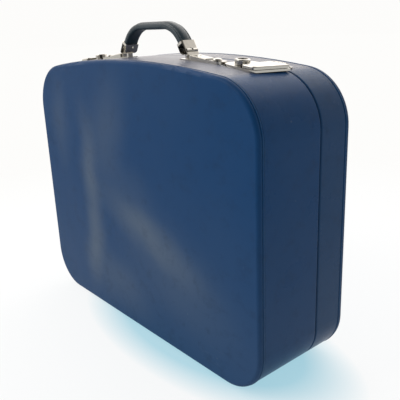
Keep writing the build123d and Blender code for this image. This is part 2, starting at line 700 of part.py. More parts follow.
def hinge_leaf(reach_sign, own_knuckles, bore, rivets):
    """Flat leaf under the shell with every other knuckle rolled round the pin."""
    with BuildPart() as leaf:
        with BuildSketch(Plane(origin=(HINGE_X, SEAM, FOOT_HEIGHT - LEAF_THICK))):
            with Locations((0, reach_sign * LEAF_REACH / 2)):
                Rectangle(2 * LEAF_HALF, LEAF_REACH)
        extrude(amount=LEAF_THICK)
        fillet(leaf.edges().filter_by(Axis.Z).sort_by(Axis.Y)[:: reach_sign][-2:], 4)
        for index in range(KNUCKLES):
            start = HINGE_X - LEAF_HALF + index * KNUCKLE_PITCH
            if index in own_knuckles:
                with BuildSketch(Plane(origin=(start + KNUCKLE_GAP / 2, SEAM, HINGE_Z), z_dir=(1, 0, 0))):
                    Circle(KNUCKLE_RADIUS)
                extrude(amount=KNUCKLE_PITCH - KNUCKLE_GAP)
            else:
                with Locations((start + KNUCKLE_PITCH / 2, SEAM, HINGE_Z)):
                    Box(KNUCKLE_PITCH + KNUCKLE_GAP, 2 * KNUCKLE_CLEAR, 20, mode=Mode.SUBTRACT)
        with Locations(Plane(origin=(HINGE_X, SEAM, HINGE_Z), z_dir=(1, 0, 0))):
            Cylinder(bore, 4 * LEAF_HALF, mode=Mode.SUBTRACT)
        pierce(rivets)
    return leaf


front_hinge_leaf = hinge_leaf(-1, (0, 2, 4), HINGE_PIN, FRONT_HINGE_RIVETS)
finish_pair(front_hinge_leaf, "front_hinge_leaf")

lid_hinge_leaf = hinge_leaf(1, (1, 3), HINGE_PIN + RUNNING_FIT, LID_HINGE_RIVETS)
finish_pair(lid_hinge_leaf, "lid_hinge_leaf")

with BuildPart(Plane(origin=(HINGE_X, SEAM, HINGE_Z), z_dir=(1, 0, 0))) as hinge_pin:
    Cylinder(HINGE_PIN, 2 * LEAF_HALF)
finish_pair(hinge_pin, "hinge_pin")


def hinge_rivet_set(planes, wall):
    """Rivets that hold both leaves of one half, heads under the case and tails inside it."""
    with BuildPart() as rivets:
        for plane in planes:
            rivet(plane, LEAF_THICK, HINGE_HEAD_RADIUS, HINGE_HEAD_HEIGHT, wall + LINING + 1)
        fillet(head_rims(rivets, planes, LEAF_THICK + HINGE_HEAD_HEIGHT), 0.7)
    return rivets


front_hinge_rivets = hinge_rivet_set(FRONT_HINGE_RIVETS, FRONT_WALL)
finish(front_hinge_rivets, "front_hinge_rivets")

lid_hinge_rivets = hinge_rivet_set(LID_HINGE_RIVETS, LID_WALL)
finish(lid_hinge_rivets, "lid_hinge_rivets")

# Studs that the case stands on
STUD_RADIUS = 9.0


def stud_set(planes, wall):
    """Flat round studs under one half, each on a shank through the shell."""
    with BuildPart() as studs:
        for plane in planes:
            rivet(plane, 0, STUD_RADIUS, FOOT_HEIGHT, wall + LINING + 1)
        fillet(head_rims(studs, planes, FOOT_HEIGHT), 1.5)
    return studs


front_feet = stud_set(FRONT_FEET, FRONT_WALL)
finish(front_feet, "front_feet")

lid_feet = stud_set(LID_FEET, LID_WALL)
finish(lid_feet, "lid_feet")
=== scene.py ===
import math

import bmesh
import bpy
from mathutils import Matrix, Vector


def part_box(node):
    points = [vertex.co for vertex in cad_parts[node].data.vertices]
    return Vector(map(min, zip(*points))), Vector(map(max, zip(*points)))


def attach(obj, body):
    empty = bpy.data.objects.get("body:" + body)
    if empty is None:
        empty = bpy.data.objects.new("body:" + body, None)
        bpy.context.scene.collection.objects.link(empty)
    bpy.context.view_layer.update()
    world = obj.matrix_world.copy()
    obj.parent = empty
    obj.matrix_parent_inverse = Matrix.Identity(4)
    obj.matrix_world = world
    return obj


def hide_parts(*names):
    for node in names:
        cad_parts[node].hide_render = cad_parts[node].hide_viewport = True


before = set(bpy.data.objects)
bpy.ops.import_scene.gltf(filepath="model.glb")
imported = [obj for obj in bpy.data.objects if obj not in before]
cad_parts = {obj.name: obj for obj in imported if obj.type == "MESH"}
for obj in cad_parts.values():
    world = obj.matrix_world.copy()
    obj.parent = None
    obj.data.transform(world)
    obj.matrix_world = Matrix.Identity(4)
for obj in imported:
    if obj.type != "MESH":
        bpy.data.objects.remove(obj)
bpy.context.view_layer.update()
scene = bpy.context.scene
scene.view_settings.view_transform = "Standard"
MM = 0.001

# Studio: a white floor that glows, with a cool painted shadow round the case's foot, and two soft
# boxes. A bright warm wall behind and a dimmer room light the case, while the camera itself sees
# a separate plain backdrop.
FLOOR_REACH = 12.0
FLOOR_WHITE = (0.95, 0.88, 0.86, 1)
# Colour of the painted shadow in the floor's glow under the case.
PAINTED_SHADOW_GLOW = (0.42, 0.70, 0.81, 1)
NEAR_GLOW = (0.96, 0.985, 0.995, 1)
FAR_GLOW = (0.985, 0.98, 0.965, 1)
NEAR_SHARE = 0.86
GLOW_STARTS = 0.40
GLOW_FULL = 1.0
PAINTED_SHADOW_CENTRE = (0.06, -0.005, 0.0)
PAINTED_SHADOW_OVAL = (0.21, 0.10, 1.0)
WALL_LIGHT = 1.85
ROOM_LIGHT = 0.44
DARK_CORNER = 0.05
WARM_WALL = (1, 0.945, 0.895, 1)
PLAIN_WALL = (0.995, 0.99, 0.975, 1)
TOWARDS_WALL = (-0.76, 0.65, 0)
TOWARDS_DARK = (0.70, -0.60, 0.38)
CAMERA_PLACE = Vector((0.5863, -0.4398, 0.4023))
CAMERA_TURN = math.radians(50.4)
CAMERA_TILT = math.radians(17.6)
CAMERA_ROLL = math.radians(-2.3)


def put(tree, kind, values=None, **settings):
    """Add a shader node; values are socket numbers, names or links, and settings its options."""
    node = tree.nodes.new("ShaderNode" + kind)
    for option, value in settings.items():
        setattr(node, option, value)
    for socket, value in (values or {}).items():
        if isinstance(value, bpy.types.NodeSocket):
            tree.links.new(value, node.inputs[socket])
        else:
            node.inputs[socket].default_value = value
    return node


def mix_colour(tree, share, first, second):
    """The first colour turning into the second by share."""
    return put(tree, "Mix", {0: share, 6: first, 7: second}, data_type="RGBA").outputs[2]


def spread(tree, value, low, high, to_low=0.0, to_high=1.0):
    """Stretch a value's range from low and high to new ends, and clip it there."""
    ends = {"Value": value, "From Min": low, "From Max": high, "To Min": to_low, "To Max": to_high}
    return put(tree, "MapRange", ends).outputs["Result"]


def sums(tree, operation, first, second):
    """One arithmetic step on two values."""
    return put(tree, "Math", {0: first, 1: second}, operation=operation).outputs["Value"]


def new_material(name, **settings):
    """A fresh material with these settings on its shader, its tree and its surface coordinates."""
    material = bpy.data.materials.new(name)
    material.use_nodes = True
    tree = material.node_tree
    shader = tree.nodes["Principled BSDF"]
    for socket, value in settings.items():
        shader.inputs[socket.replace("_", " ")].default_value = value
    return material, tree, shader, put(tree, "TexCoord").outputs["Object"]


def new_piece(name, shape, material, smooth=True):
    """Turn a finished bmesh into an object with a material."""
    mesh = bpy.data.meshes.new(name)
    shape.to_mesh(mesh)
    shape.free()
    mesh.materials.append(material)
    if smooth:
        mesh.shade_smooth()
    piece = bpy.data.objects.new(name, mesh)
    scene.collection.objects.link(piece)
    return piece


floor_paint, floor_tree, floor_shader, floor_place = new_material("studio_white", Roughness=0.9)
floor_shader.inputs["Base Color"].default_value = FLOOR_WHITE
distance = put(floor_tree, "VectorMath", {0: floor_place}, operation="LENGTH").outputs["Value"]
far_share = spread(floor_tree, distance, GLOW_STARTS, GLOW_FULL)
centred = put(floor_tree, "VectorMath", {0: floor_place, 1: PAINTED_SHADOW_CENTRE}, operation="SUBTRACT")
oval = put(
    floor_tree, "VectorMath", {0: centred.outputs["Vector"], 1: PAINTED_SHADOW_OVAL}, operation="DIVIDE"
).outputs["Vector"]
clear = put(floor_tree, "VectorMath", {0: oval}, operation="LENGTH").outputs["Value"]
# Painted shadow: inside the oval round the case's foot the floor's glow turns a cool blue.
near_glow_with_painted_shadow = mix_colour(floor_tree, spread(floor_tree, clear, 0.78, 1.20), PAINTED_SHADOW_GLOW, NEAR_GLOW)
glow_tint = mix_colour(floor_tree, far_share, near_glow_with_painted_shadow, FAR_GLOW)
glow = put(floor_tree, "Emission", {"Color": glow_tint, "Strength": 1.0})
floor_mix = put(floor_tree, "MixShader", {
    0: spread(floor_tree, far_share, 0.0, 1.0, NEAR_SHARE, 1.0),
    1: floor_shader.outputs["BSDF"],
    2: glow.outputs["Emission"],
})
floor_tree.links.new(floor_mix.outputs["Shader"], floor_tree.nodes["Material Output"].inputs["Surface"])
floor_shape = bmesh.new()
bmesh.ops.create_grid(floor_shape, x_segments=1, y_segments=1, size=FLOOR_REACH)
new_piece("studio_floor", floor_shape, floor_paint, smooth=False)


def soft_box(name, place, aim, width, height, power, colour):
    """A rectangular studio lamp at a place, facing a point."""
    lamp = bpy.data.lights.new(name, "AREA")
    lamp.shape = "RECTANGLE"
    lamp.size = width
    lamp.size_y = height
    lamp.energy = power
    lamp.color = colour
    stand = bpy.data.objects.new(name, lamp)
    stand.location = place
    stand.rotation_euler = (Vector(aim) - Vector(place)).to_track_quat("-Z", "Y").to_euler()
    scene.collection.objects.link(stand)


soft_box("key_light", (-1.1, -1.9, 1.9), (0, 0, 0.2), 1.6, 1.2, 38, (1, 0.985, 0.96))
soft_box("back_light", (-0.6, 1.6, 1.9), (0, 0, 0.3), 2.4, 1.4, 12, (1, 0.99, 0.97))

world = bpy.data.worlds.new("studio_room")
scene.world = world
world.use_nodes = True
room = world.node_tree
direction = put(room, "TexCoord").outputs["Generated"]
to_wall = put(room, "VectorMath", {0: direction, 1: TOWARDS_WALL}, operation="DOT_PRODUCT")
to_dark = put(room, "VectorMath", {0: direction, 1: TOWARDS_DARK}, operation="DOT_PRODUCT")
wall_share = spread(room, to_wall.outputs["Value"], -0.25, 0.35, ROOM_LIGHT, WALL_LIGHT)
dark_share = spread(room, to_dark.outputs["Value"], 0.80, 0.93, 1.0, DARK_CORNER)
room_light = sums(room, "MULTIPLY", wall_share, dark_share)
seen = put(room, "LightPath").outputs["Is Camera Ray"]
strength = put(room, "Mix", {0: seen, 2: room_light, 3: 0.985}, data_type="FLOAT").outputs[0]
room_sky = room.nodes["Background"]
room.links.new(mix_colour(room, seen, WARM_WALL, PLAIN_WALL), room_sky.inputs["Color"])
room.links.new(strength, room_sky.inputs["Strength"])

back = Vector((
    math.sin(CAMERA_TURN) * math.cos(CAMERA_TILT),
    -math.cos(CAMERA_TURN) * math.cos(CAMERA_TILT),
    math.sin(CAMERA_TILT),
))
level_right = Vector((0, 0, 1)).cross(back).normalized()
level_up = back.cross(level_right)
camera_right = math.cos(CAMERA_ROLL) * level_right + math.sin(CAMERA_ROLL) * level_up
camera_up = -math.sin(CAMERA_ROLL) * level_right + math.cos(CAMERA_ROLL) * level_up
lens = bpy.data.cameras.new("camera")
lens.lens = 50.04
lens.sensor_width = 36
lens.clip_end = 50
camera = bpy.data.objects.new("camera", lens)
camera.matrix_world = Matrix((camera_right, camera_up, back)).transposed().to_4x4()
camera.location = CAMERA_PLACE
scene.collection.objects.link(camera)
scene.camera = camera

# Covering of the shell: thin embossed vinyl glued over board, navy blue and gone satin with age.
# The board under it is uneven, which breaks up the gloss. It has pale streaks of painted reflection on
# the front, scuffs, paler edges, a haze low down and a pale film on whatever faces up that is
# dust and a painted sheen.
VINYL_BLUE = (0.0058, 0.041, 0.122, 1)
VINYL_FADED_AND_REFLECTION = (0.090, 0.122, 0.166, 1)
VINYL_RUBBED = (0.028, 0.085, 0.150, 1)
VINYL_GRIME = (0.006, 0.016, 0.034, 1)
SCUFF_PALE = (0.16, 0.19, 0.22, 1)
WELT_BLUE = (0.0064, 0.043, 0.124, 1)
LID_BLUE = (0.0110, 0.044, 0.114, 1)
TOP_DUST_AND_SHEEN = (0.36, 0.32, 0.28, 1)


def start_group(name, takes, gives):
    """An empty shader group with number inputs and their usual values, and its outputs."""
    group = bpy.data.node_groups.new(name, "ShaderNodeTree")
    for title, value in takes.items():
        group.interface.new_socket(title, in_out="INPUT", socket_type="NodeSocketFloat").default_value = value
    for title in gives:
        group.interface.new_socket(title, in_out="OUTPUT", socket_type="NodeSocketFloat")
    place = put(group, "TexCoord").outputs["Object"]
    return group, group.nodes.new("NodeGroupInput").outputs, group.nodes.new("NodeGroupOutput"), place


def make_hide_grain():
    """Embossed leather grain: small pebbles with creases between them, and fine pores."""
    group, takes, gives, place = start_group("hide_grain", {"Scale": 700.0}, ["Height"])
    bend = put(group, "TexNoise", {"Vector": place, "Scale": 90.0, "Detail": 3.0}).outputs["Color"]
    shift = put(group, "VectorMath", {0: bend, 1: (0.004, 0.004, 0.004)}, operation="MULTIPLY")
    warped = put(group, "VectorMath", {0: place, 1: shift.outputs["Vector"]}, operation="ADD")
    pebbles = put(
        group, "TexVoronoi", {"Vector": warped.outputs["Vector"], "Scale": takes["Scale"]},
        feature="DISTANCE_TO_EDGE",
    )
    domes = spread(group, pebbles.outputs["Distance"], 0.0, 0.22)
    pores = put(group, "TexNoise", {"Vector": place, "Scale": 2600.0, "Detail": 2.0}).outputs["Fac"]
    height = sums(group, "MULTIPLY_ADD", pores, 0.25)
    group.links.new(domes, height.node.inputs[2])
    group.links.new(height, gives.inputs["Height"])
    return group


def make_handling_marks():
    """Scuffs, specks and grime: thin scratches where two stretched noises meet, and soft blotches."""
    group, takes, gives, place = start_group(
        "handling_marks", {"Scale": 26.0, "Scuff Amount": 0.5}, ["Scuffs", "Blotches", "Grime"]
    )
    flat = put(group, "Mapping", {"Vector": place, "Scale": (1.0, 1.0, 5.5), "Rotation": (0.2, 0.35, 0.0)})
    lines = put(group, "TexNoise", {"Vector": flat.outputs["Vector"], "Scale": takes["Scale"], "Detail": 5.0})
    thin = sums(group, "ABSOLUTE", sums(group, "SUBTRACT", lines.outputs["Fac"], 0.5), 0.0)
    scratches = spread(group, thin, 0.0, 0.010, 1.0, 0.0)
    patches = put(group, "TexNoise", {"Vector": place, "Scale": 9.0, "Detail": 4.0}).outputs["Fac"]
    few = sums(group, "MULTIPLY", scratches, spread(group, patches, 0.64, 0.76))
    specks = put(group, "TexVoronoi", {"Vector": place, "Scale": 42.0}).outputs["Distance"]
    small = spread(group, specks, 0.035, 0.05, 1.0, 0.0)
    dots = sums(group, "MULTIPLY", small, spread(group, patches, 0.5, 0.6))
    marks = sums(group, "MAXIMUM", few, dots)
    group.links.new(sums(group, "MULTIPLY", marks, takes["Scuff Amount"]), gives.inputs["Scuffs"])
    clouds = put(group, "TexNoise", {"Vector": place, "Scale": 5.0, "Detail": 6.0, "Roughness": 0.6})
    group.links.new(spread(group, clouds.outputs["Fac"], 0.38, 0.68), gives.inputs["Blotches"])
    settled = put(group, "TexNoise", {"Vector": place, "Scale": 60.0, "Detail": 6.0, "Roughness": 0.7})
    group.links.new(spread(group, settled.outputs["Fac"], 0.52, 0.75), gives.inputs["Grime"])
    return group


def make_rubbed_edges():
    """Mask of outside edges, where hands and floors have rubbed, broken up by noise."""
    group, takes, gives, place = start_group("rubbed_edges", {"Reach": 0.002}, ["Mask"])
    rounded = put(group, "Bevel", {"Radius": takes["Reach"]}, samples=6).outputs["Normal"]
    sharp = put(group, "NewGeometry").outputs["Normal"]
    turn = put(group, "VectorMath", {0: rounded, 1: sharp}, operation="DOT_PRODUCT").outputs["Value"]
    edge = spread(group, turn, 0.90, 0.995, 1.0, 0.0)
    breaks = put(group, "TexNoise", {"Vector": place, "Scale": 85.0, "Detail": 5.0}).outputs["Fac"]
    group.links.new(sums(group, "MULTIPLY", edge, spread(group, breaks, 0.40, 0.62)), gives.inputs["Mask"])
    return group


hide_grain = make_hide_grain()
handling_marks = make_handling_marks()
rubbed_edges = make_rubbed_edges()


def place_group(tree, group, **values):
    """Put a shared effect into a material with that material's own values."""
    node = tree.nodes.new("ShaderNodeGroup")
    node.node_tree = group
    for title, value in values.items():
        node.inputs[title.replace("_", " ")].default_value = value
    return node.outputs


# Painted reflection streaks on the front panel: centre, half length and half width in metres, turn, strength
PAINTED_REFLECTION_PATCHES = (
    (-0.100, 0.190, 0.100, 0.025, 90, 0.88),
    (-0.110, 0.085, 0.060, 0.025, 75, 0.70),
    (0.030, 0.150, 0.110, 0.025, -20, 0.68),
    (0.080, 0.110, 0.120, 0.055, -20, 0.42),
    (-0.050, 0.270, 0.080, 0.040, 70, 0.48),
    (-0.170, 0.270, 0.060, 0.025, 85, 0.42),
    (-0.050, 0.060, 0.080, 0.040, -10, 0.50),
    (0.000, 0.190, 0.060, 0.040, -40, 0.30),
)


def painted_reflection_patches(tree, place):
    """Sum of soft oval patches of painted reflection on the front, their outlines wandering a little."""
    wander = put(tree, "TexNoise", {"Vector": place, "Scale": 9.0, "Detail": 3.0}).outputs["Color"]
    centred = put(tree, "VectorMath", {0: wander, 1: (-0.5, -0.5, -0.5)}, operation="ADD").outputs["Vector"]
    moved = put(tree, "VectorMath", {0: centred, 1: (0.045, 0.0, 0.045)}, operation="MULTIPLY")
    loose = put(tree, "VectorMath", {0: place, 1: moved.outputs["Vector"]}, operation="ADD").outputs["Vector"]
    total = 0.0
    for x, z, half_length, half_width, turn, patch_strength in PAINTED_REFLECTION_PATCHES:
        oval = put(tree, "Mapping", {
            "Vector": loose,
            "Location": (x, 0, z),
            "Rotation": (0, -math.radians(turn), 0),
            "Scale": (half_length, 1000.0, half_width),
        }, vector_type="TEXTURE").outputs["Vector"]
        reach = put(tree, "VectorMath", {0: oval}, operation="LENGTH").outputs["Value"]
        soft = put(tree, "MapRange", {
            "Value": reach, "From Min": 1.5, "From Max": 0.0, "To Max": patch_strength,
        }, interpolation_type="SMOOTHSTEP").outputs["Result"]
        total = sums(tree, "ADD", soft, total)
    return total


def make_vinyl(name, colour, patched, gloss_from, gloss_to):
    """Aged embossed vinyl; only the front panel carries the painted reflection patches."""
    material, tree, shader, place = new_material(name, Specular_IOR_Level=0.06)
    marks = place_group(tree, handling_marks, Scale=26.0, Scuff_Amount=0.22)
    edges = place_group(tree, rubbed_edges, Reach=0.003)
    paint = mix_colour(tree, sums(tree, "MULTIPLY", marks["Blotches"], 0.07), colour, VINYL_FADED_AND_REFLECTION)
    if patched:
        # Pale streaks on the front panel: painted reflection of the room, not real fading.
        patch = sums(tree, "MULTIPLY", painted_reflection_patches(tree, place), 0.62)
        paint = mix_colour(tree, patch, paint, VINYL_FADED_AND_REFLECTION)
    low = spread(tree, put(tree, "SeparateXYZ", {0: place}).outputs["Z"], 0.24, 0.02, 0.0, 0.13)
    paint = mix_colour(tree, low, paint, VINYL_FADED_AND_REFLECTION)
    # Upward faces turn pale: partly settled dust, partly a painted sheen standing for the grazing reflection
    # on the top.
    facing = put(tree, "SeparateXYZ", {0: put(tree, "NewGeometry").outputs["Normal"]}).outputs["Z"]
    paint = mix_colour(tree, spread(tree, facing, 0.95, 0.995, 0.0, 0.30), paint, TOP_DUST_AND_SHEEN)
    paint = mix_colour(tree, sums(tree, "MULTIPLY", marks["Grime"], 0.30), paint, VINYL_GRIME)
    paint = mix_colour(tree, sums(tree, "MULTIPLY", edges["Mask"], 0.35), paint, VINYL_RUBBED)
    paint = mix_colour(tree, marks["Scuffs"], paint, SCUFF_PALE)
    tree.links.new(paint, shader.inputs["Base Color"])
    gloss = spread(tree, marks["Blotches"], 0.0, 1.0, gloss_from, gloss_to)
    gloss = sums(tree, "ADD", gloss, sums(tree, "MULTIPLY", marks["Scuffs"], 0.25))
    tree.links.new(gloss, shader.inputs["Roughness"])
    board = put(tree, "TexNoise", {"Vector": place, "Scale": 7.0, "Detail": 1.5}).outputs["Fac"]
    uneven = put(tree, "Bump", {"Height": board, "Strength": 1.0, "Distance": 0.0022})
    grain = place_group(tree, hide_grain, Scale=750.0)
    emboss = put(tree, "Bump", {
        "Height": grain["Height"], "Strength": 0.30, "Distance": 0.00012, "Normal": uneven.outputs["Normal"],
    })
    tree.links.new(emboss.outputs["Normal"], shader.inputs["Normal"])
    return material


def dress(material, slot, *names):
    """Give CAD nodes this material in place of their packed one."""
    for name in names:
        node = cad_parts[name]
        node.data.materials.clear()
        node.data.materials.append(material)


dress(make_vinyl("front_vinyl", VINYL_BLUE, True, 0.42, 0.55), "blue_vinyl", "front_panel")
dress(make_vinyl("shell_vinyl", VINYL_BLUE, False, 0.26, 0.36), "blue_vinyl", "front_band")
dress(make_vinyl("lid_vinyl", LID_BLUE, False, 0.26, 0.36), "blue_vinyl", "lid_panel", "lid_band")
dress(make_vinyl("piping_vinyl", WELT_BLUE, False, 0.22, 0.32), "welt_vinyl", "front_welt", "lid_welt")

# Bright fittings: steel stampings under bright chrome plate. The plate is finely scratched and
# smudged, and a little rust has started in scattered pits. Its colour is kept darker than real
# plate to suit the bright wall.
CHROME = (0.43, 0.42, 0.39, 1)
CHROME_PITTED = (0.12, 0.085, 0.06, 1)

chrome, chrome_tree, chrome_shader, chrome_place = new_material("bright_chrome", Metallic=1.0)
chrome_marks = place_group(chrome_tree, handling_marks, Scale=160.0, Scuff_Amount=0.6)
pits = put(chrome_tree, "TexVoronoi", {"Vector": chrome_place, "Scale": 320.0}).outputs["Distance"]
pit_places = put(
    chrome_tree, "TexNoise", {"Vector": chrome_place, "Scale": 45.0, "Detail": 3.0}
).outputs["Fac"]
pit_mask = sums(
    chrome_tree, "MULTIPLY",
    spread(chrome_tree, pits, 0.05, 0.14, 1.0, 0.0), spread(chrome_tree, pit_places, 0.55, 0.68),
)
tarnish = sums(chrome_tree, "MAXIMUM", pit_mask, sums(chrome_tree, "MULTIPLY", chrome_marks["Grime"], 0.12))
chrome_tree.links.new(
    mix_colour(chrome_tree, tarnish, CHROME, CHROME_PITTED), chrome_shader.inputs["Base Color"]
)
chrome_gloss = spread(chrome_tree, chrome_marks["Blotches"], 0.0, 1.0, 0.06, 0.17)
chrome_gloss = sums(chrome_tree, "ADD", chrome_gloss, sums(chrome_tree, "MULTIPLY", pit_mask, 0.4))
chrome_tree.links.new(
    sums(chrome_tree, "ADD", chrome_gloss, sums(chrome_tree, "MULTIPLY", chrome_marks["Scuffs"], 0.2)),
    chrome_shader.inputs["Roughness"],
)
ripple = put(chrome_tree, "TexNoise", {"Vector": chrome_place, "Scale": 130.0, "Detail": 2.0}).outputs["Fac"]
chrome_bump = put(chrome_tree, "Bump", {"Height": ripple, "Strength": 0.35, "Distance": 0.0004})
chrome_tree.links.new(chrome_bump.outputs["Normal"], chrome_shader.inputs["Normal"])
BRIGHT_NODES = (
    "handle_end", "handle_bracket", "handle_pin", "bracket_rivets", "lock_plate", "lock_knob",
    "lock_rivets", "hasp", "strap_buckles", "strap_rivets", "front_hinge", "lid_hinge",
)
dress(chrome, "chrome_plate", *[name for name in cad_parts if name.startswith(BRIGHT_NODES)])

# Handle cover: vinyl folded round a steel strip with padding on its outer side, and sewn along
# both edges. It is darker and greener than the shell, and greasy from hands. Its ends are
# gripped in the plated caps.
HANDLE_BLUE = (0.0105, 0.027, 0.040, 1)
HANDLE_WORN = (0.045, 0.062, 0.068, 1)
THREAD_BLUE = (0.050, 0.085, 0.110, 1)
PIVOT = Vector((61.5, -15.0, 375.28)) * MM
LEG_LEAN = math.radians(29)
BEND_RADIUS = 40.0 * MM
LEG_STARTS = 5.0 * MM
SEAM_ACROSS = 6.3 * MM
SEAM_HEIGHT = 3.1 * MM
STITCH_PITCH = 4.0 * MM
STITCH_LENGTH = 2.7 * MM
THREAD_RADIUS = 0.36 * MM
# half of the section, across and outwards in millimetres, from the padded crown to the lining side
GRIP_OUTLINE = (
    (0, 4.9), (2.6, 4.8), (4.5, 4.3), (5.6, 3.5), (6.3, 2.75), (7.0, 3.1), (8.1, 2.9), (8.9, 2.2), (9.3, 0.9),
    (9.3, -1.4), (8.9, -2.9), (7.6, -3.9), (5.0, -4.5), (0, -4.7),
)

handle_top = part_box("handle_grip")[1][2] - 4.9 * MM
leg_up = Vector((-math.sin(LEG_LEAN), 0, math.cos(LEG_LEAN)))
leg_out = Vector((math.cos(LEG_LEAN), 0, math.sin(LEG_LEAN)))
leg_length = (handle_top - PIVOT.z) / math.cos(LEG_LEAN)
leg_straight = leg_length - BEND_RADIUS * math.tan((math.pi / 2 - LEG_LEAN) / 2)
bend_starts = PIVOT + leg_straight * leg_up
bend_centre = bend_starts - BEND_RADIUS * leg_out
bend_angle = math.pi / 2 - LEG_LEAN

handle_vinyl, handle_tree, handle_shader, _ = new_material("handle_vinyl", Specular_IOR_Level=0.28)
handle_marks = place_group(handle_tree, handling_marks, Scale=70.0, Scuff_Amount=0.35)
handle_edges = place_group(handle_tree, rubbed_edges, Reach=0.0016)
handle_paint = mix_colour(
    handle_tree, sums(handle_tree, "MULTIPLY", handle_marks["Blotches"], 0.3), HANDLE_BLUE, HANDLE_WORN
)
handle_paint = mix_colour(
    handle_tree, sums(handle_tree, "MULTIPLY", handle_edges["Mask"], 0.6), handle_paint, HANDLE_WORN
)
handle_paint = mix_colour(handle_tree, handle_marks["Scuffs"], handle_paint, SCUFF_PALE)
handle_tree.links.new(handle_paint, handle_shader.inputs["Base Color"])
handle_tree.links.new(
    spread(handle_tree, handle_marks["Blotches"], 0.0, 1.0, 0.30, 0.44), handle_shader.inputs["Roughness"]
)
handle_grain = place_group(handle_tree, hide_grain, Scale=900.0)
handle_bump = put(
    handle_tree, "Bump", {"Height": handle_grain["Height"], "Strength": 0.35, "Distance": 0.00012}
)
handle_tree.links.new(handle_bump.outputs["Normal"], handle_shader.inputs["Normal"])


def arch_ring(shape, centre, outward):
    """Closed loop of the grip's section at a place on the handle, set square to its run."""
    outline = list(GRIP_OUTLINE) + [(-across, out) for across, out in reversed(GRIP_OUTLINE[1:-1])]
    corners = [
        shape.verts.new(centre + Vector((0, across * MM, 0)) + outward * out * MM) for across, out in outline
    ]
    return [shape.edges.new(pair) for pair in zip(corners, corners[1:] + corners[:1])]


def carry_on(shape, edges, move):
    """Extend a loop of edges in a straight run and return the new loop."""
    grown = bmesh.ops.extrude_edge_only(shape, edges=edges)["geom"]
    corners = [item for item in grown if isinstance(item, bmesh.types.BMVert)]
    bmesh.ops.translate(shape, verts=corners, vec=move)
    return [item for item in grown if isinstance(item, bmesh.types.BMEdge) and item.is_boundary]


grip_shape = bmesh.new()
loop = arch_ring(grip_shape, PIVOT + LEG_STARTS * leg_up, leg_out)
bmesh.ops.contextual_create(grip_shape, geom=loop)
loop = carry_on(grip_shape, loop, (leg_straight - LEG_STARTS) * leg_up)
bend_steps = bmesh.ops.spin(
    grip_shape, geom=loop + list({corner for edge in loop for corner in edge.verts}), cent=bend_centre,
    axis=(0, -1, 0), dvec=(0, 0, 0), angle=bend_angle, steps=26, use_merge=False, use_duplicate=False,
)
loop = [item for item in bend_steps["geom_last"] if isinstance(item, bmesh.types.BMEdge)]
carry_on(grip_shape, loop, Vector((-bend_centre.x, 0, 0)))
half_grip = grip_shape.verts[:] + grip_shape.edges[:] + grip_shape.faces[:]
bmesh.ops.mirror(grip_shape, geom=half_grip, axis="X", merge_dist=1e-5)
bmesh.ops.remove_doubles(grip_shape, verts=grip_shape.verts[:], dist=1e-6)
bmesh.ops.recalc_face_normals(grip_shape, faces=grip_shape.faces[:])
handle_cover = new_piece("handle_cover", grip_shape, handle_vinyl)
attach(handle_cover, "handle")
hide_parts("handle_grip")


def handle_station(along):
    """Place, outward direction and turn on the handle's run, this far from its middle."""
    side = 1 if along >= 0 else -1
    past_top = abs(along) - bend_centre.x
    if past_top <= 0:
        return Vector((along, PIVOT.y, handle_top)), Vector((0, 0, 1)), 0.0
    turn = min(past_top / BEND_RADIUS, bend_angle)
    outward = Vector((math.sin(turn), 0, math.cos(turn)))
    place = bend_centre + BEND_RADIUS * outward
    place += max(0.0, past_top - BEND_RADIUS * bend_angle) * -leg_up
    place.x *= side
    outward.x *= side
    return place, outward, side * turn


thread, thread_tree, thread_shader, thread_place = new_material("sewing_thread", Roughness=0.65)
thread_wave = put(
    thread_tree, "TexNoise", {"Vector": thread_place, "Scale": 3000.0, "Detail": 2.0}
).outputs["Fac"]
thread_tree.links.new(
    mix_colour(thread_tree, thread_wave, THREAD_BLUE, HANDLE_WORN), thread_shader.inputs["Base Color"]
)
stitch_shape = bmesh.new()
stitches_each_way = int((bend_centre.x + BEND_RADIUS * bend_angle) / STITCH_PITCH)
for step in range(-stitches_each_way, stitches_each_way + 1):
    for side in (-1, 1):
        spot, outward, turn = handle_station(step * STITCH_PITCH)
        spot = spot + outward * SEAM_HEIGHT + Vector((0, side * (SEAM_ACROSS + 0.35 * MM), 0))
        stand = Matrix.Translation(spot) @ Matrix.Rotation(turn, 4, "Y")
        sized = Matrix.Diagonal((STITCH_LENGTH / 2, THREAD_RADIUS, THREAD_RADIUS, 1))
        bmesh.ops.create_uvsphere(stitch_shape, u_segments=8, v_segments=6, radius=1, matrix=stand @ sized)
handle_stitches = new_piece("handle_stitches", stitch_shape, thread)
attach(handle_stitches, "handle")

# Hidden steel: the strip inside the handle, backing plates, lock boxes, slides, springs and hinge
# pins. Plain zinc-grey strip and wire, dull, with rolling lines and brown-grey tarnish.
STEEL_GREY = (0.46, 0.47, 0.48, 1)
STEEL_TARNISH = (0.22, 0.20, 0.18, 1)
steel, steel_tree, steel_shader, steel_place = new_material("plain_steel", Metallic=1.0)
steel_marks = place_group(steel_tree, handling_marks, Scale=120.0, Scuff_Amount=0.5)
rolled = put(steel_tree, "Mapping", {"Vector": steel_place, "Scale": (1.0, 30.0, 30.0)}).outputs["Vector"]
rolling_lines = put(steel_tree, "TexNoise", {"Vector": rolled, "Scale": 60.0, "Detail": 3.0}).outputs["Fac"]
steel_dull = sums(steel_tree, "MULTIPLY", steel_marks["Grime"], 0.6)
steel_paint = mix_colour(steel_tree, steel_dull, STEEL_GREY, STEEL_TARNISH)
steel_gloss = spread(steel_tree, rolling_lines, 0.3, 0.7, 0.28, 0.48)
steel_tree.links.new(steel_paint, steel_shader.inputs["Base Color"])
steel_tree.links.new(steel_gloss, steel_shader.inputs["Roughness"])
